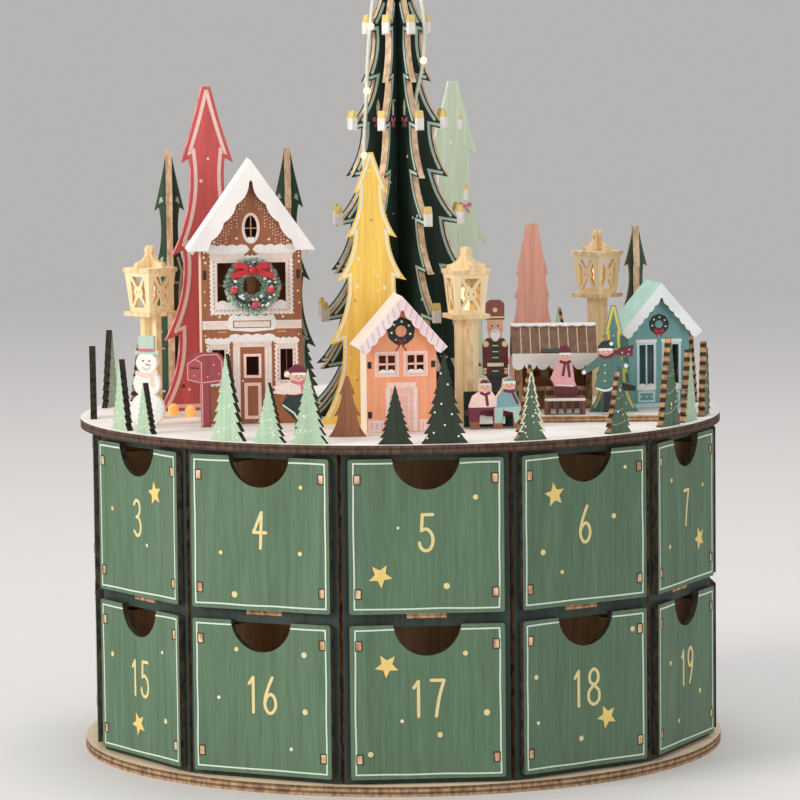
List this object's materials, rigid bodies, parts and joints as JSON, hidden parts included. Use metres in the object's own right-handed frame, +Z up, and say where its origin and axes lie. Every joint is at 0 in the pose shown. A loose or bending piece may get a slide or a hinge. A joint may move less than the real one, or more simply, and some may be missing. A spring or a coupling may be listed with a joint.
{
  "type": "advent calendar",
  "caption": "Round wooden advent calendar: two rings of numbered pull-out drawers under a snow deck with a lit village of plywood pines, houses, lamps and figures.",
  "frame": {"origin": "centre of the underside of the round base plate", "axes": "+Z up along the drum's axis; -Y is the front, towards drawer five; +X is the right-hand side"},
  "size_m": [0.2999, 0.3, 0.4051],
  "materials": {
    "bare_plywood": "bare birch plywood, laser cut",
    "white_snow_paint": "white painted plywood",
    "green_paint": "thin green paint over wood grain",
    "drawer_green": "thin green paint over wood grain, gold and pale print",
    "black_plastic": "moulded",
    "cell_wrap": "battery cell",
    "contact_metal": "plated spring steel",
    "cable_sheath": "thin cable",
    "bulb": "clear warm diode",
    "dark_pine_paint": "dark green paint",
    "red_paint": "red paint",
    "yellow_paint": "yellow paint",
    "mint_paint": "mint paint",
    "coral_paint": "coral paint",
    "teal_paint": "teal paint",
    "pine_paint": "green paint",
    "brown_paint": "brown paint with white print",
    "peach_paint": "peach paint",
    "stall_wood": "planked plywood",
    "figure_paint": "printed plywood",
    "wreath": "bottle-brush green"
  },
  "bodies": {
    "calendar": {"base_plate": "bare_plywood", "floor_plate": "bare_plywood", "facade_panels": "green_paint", "partitions": "bare_plywood", "middle_shelf": "bare_plywood", "snow_deck": "white_snow_paint", "snow_platform": "white_snow_paint", "battery_tub": "black_plastic", "battery_cover": "black_plastic", "battery_cells": "cell_wrap", "battery_contacts": "contact_metal", "cover_screw": "contact_metal", "light_cable": "cable_sheath", "light_bulbs": "bulb", "great_tree": "dark_pine_paint", "red_tree": "red_paint", "yellow_tree": "yellow_paint", "mint_tree": "mint_paint", "coral_tree": "coral_paint", "teal_tree": "teal_paint", "back_pines": "pine_paint", "rim_trees": "pine_paint", "brown_house_walls": "brown_paint", "brown_house_roof": "white_snow_paint", "brown_house_wreath": "wreath", "peach_house_walls": "peach_paint", "peach_house_roof": "white_snow_paint", "teal_house_walls": "teal_paint", "teal_house_roof": "white_snow_paint", "market_stall_walls": "stall_wood", "market_stall_roof": "stall_wood", "lamp_posts": "bare_plywood", "lanterns": "bare_plywood", "snowman": "white_snow_paint", "village_figures": "figure_paint"},
    "drawer_01": {"drawer_01": "drawer_green"},
    "drawer_02": {"drawer_02": "drawer_green"},
    "drawer_03": {"drawer_03": "drawer_green"},
    "drawer_04": {"drawer_04": "drawer_green"},
    "drawer_05": {"drawer_05": "drawer_green"},
    "drawer_06": {"drawer_06": "drawer_green"},
    "drawer_07": {"drawer_07": "drawer_green"},
    "drawer_08": {"drawer_08": "drawer_green"},
    "drawer_09": {"drawer_09": "drawer_green"},
    "drawer_10": {"drawer_10": "drawer_green"},
    "drawer_11": {"drawer_11": "drawer_green"},
    "drawer_12": {"drawer_12": "drawer_green"},
    "drawer_13": {"drawer_13": "drawer_green"},
    "drawer_14": {"drawer_14": "drawer_green"},
    "drawer_15": {"drawer_15": "drawer_green"},
    "drawer_16": {"drawer_16": "drawer_green"},
    "drawer_17": {"drawer_17": "drawer_green"},
    "drawer_18": {"drawer_18": "drawer_green"},
    "drawer_19": {"drawer_19": "drawer_green"},
    "drawer_20": {"drawer_20": "drawer_green"},
    "drawer_21": {"drawer_21": "drawer_green"},
    "drawer_22": {"drawer_22": "drawer_green"},
    "drawer_23": {"drawer_23": "drawer_green"},
    "drawer_24": {"drawer_24": "drawer_green"},
    "switch": {"switch_slider": "black_plastic"}
  },
  "joints": [
    {"name": "drawer_01_slide", "type": "slide", "parent": "calendar", "child": "drawer_01", "axis": [-0.866, 0.5, 0], "range_m": [0, 0.045]},
    {"name": "drawer_02_slide", "type": "slide", "parent": "calendar", "child": "drawer_02", "axis": [-1, 0, 0], "range_m": [0, 0.045]},
    {"name": "drawer_03_slide", "type": "slide", "parent": "calendar", "child": "drawer_03", "axis": [-0.866, -0.5, 0], "range_m": [0, 0.045]},
    {"name": "drawer_04_slide", "type": "slide", "parent": "calendar", "child": "drawer_04", "axis": [-0.5, -0.866, 0], "range_m": [0, 0.045]},
    {"name": "drawer_05_slide", "type": "slide", "parent": "calendar", "child": "drawer_05", "axis": [0, -1, 0], "range_m": [0, 0.045]},
    {"name": "drawer_06_slide", "type": "slide", "parent": "calendar", "child": "drawer_06", "axis": [0.5, -0.866, 0], "range_m": [0, 0.045]},
    {"name": "drawer_07_slide", "type": "slide", "parent": "calendar", "child": "drawer_07", "axis": [0.866, -0.5, 0], "range_m": [0, 0.045]},
    {"name": "drawer_08_slide", "type": "slide", "parent": "calendar", "child": "drawer_08", "axis": [1, 0, 0], "range_m": [0, 0.045]},
    {"name": "drawer_09_slide", "type": "slide", "parent": "calendar", "child": "drawer_09", "axis": [0.866, 0.5, 0], "range_m": [0, 0.045]},
    {"name": "drawer_10_slide", "type": "slide", "parent": "calendar", "child": "drawer_10", "axis": [0.5, 0.866, 0], "range_m": [0, 0.045]},
    {"name": "drawer_11_slide", "type": "slide", "parent": "calendar", "child": "drawer_11", "axis": [0, 1, 0], "range_m": [0, 0.045]},
    {"name": "drawer_12_slide", "type": "slide", "parent": "calendar", "child": "drawer_12", "axis": [-0.5, 0.866, 0], "range_m": [0, 0.045]},
    {"name": "drawer_13_slide", "type": "slide", "parent": "calendar", "child": "drawer_13", "axis": [-0.866, 0.5, 0], "range_m": [0, 0.045]},
    {"name": "drawer_14_slide", "type": "slide", "parent": "calendar", "child": "drawer_14", "axis": [-1, 0, 0], "range_m": [0, 0.045]},
    {"name": "drawer_15_slide", "type": "slide", "parent": "calendar", "child": "drawer_15", "axis": [-0.866, -0.5, 0], "range_m": [0, 0.045]},
    {"name": "drawer_16_slide", "type": "slide", "parent": "calendar", "child": "drawer_16", "axis": [-0.5, -0.866, 0], "range_m": [0, 0.045]},
    {"name": "drawer_17_slide", "type": "slide", "parent": "calendar", "child": "drawer_17", "axis": [0, -1, 0], "range_m": [0, 0.045]},
    {"name": "drawer_18_slide", "type": "slide", "parent": "calendar", "child": "drawer_18", "axis": [0.5, -0.866, 0], "range_m": [0, 0.045]},
    {"name": "drawer_19_slide", "type": "slide", "parent": "calendar", "child": "drawer_19", "axis": [0.866, -0.5, 0], "range_m": [0, 0.045]},
    {"name": "drawer_20_slide", "type": "slide", "parent": "calendar", "child": "drawer_20", "axis": [1, 0, 0], "range_m": [0, 0.045]},
    {"name": "drawer_21_slide", "type": "slide", "parent": "calendar", "child": "drawer_21", "axis": [0.866, 0.5, 0], "range_m": [0, 0.045]},
    {"name": "drawer_22_slide", "type": "slide", "parent": "calendar", "child": "drawer_22", "axis": [0.5, 0.866, 0], "range_m": [0, 0.045]},
    {"name": "drawer_23_slide", "type": "slide", "parent": "calendar", "child": "drawer_23", "axis": [0, 1, 0], "range_m": [0, 0.045]},
    {"name": "drawer_24_slide", "type": "slide", "parent": "calendar", "child": "drawer_24", "axis": [-0.5, 0.866, 0], "range_m": [0, 0.045]},
    {"name": "switch_slide", "type": "slide", "parent": "calendar", "child": "switch", "axis": [1, 0, 0], "range_m": [0, 0.003]}
  ]
}
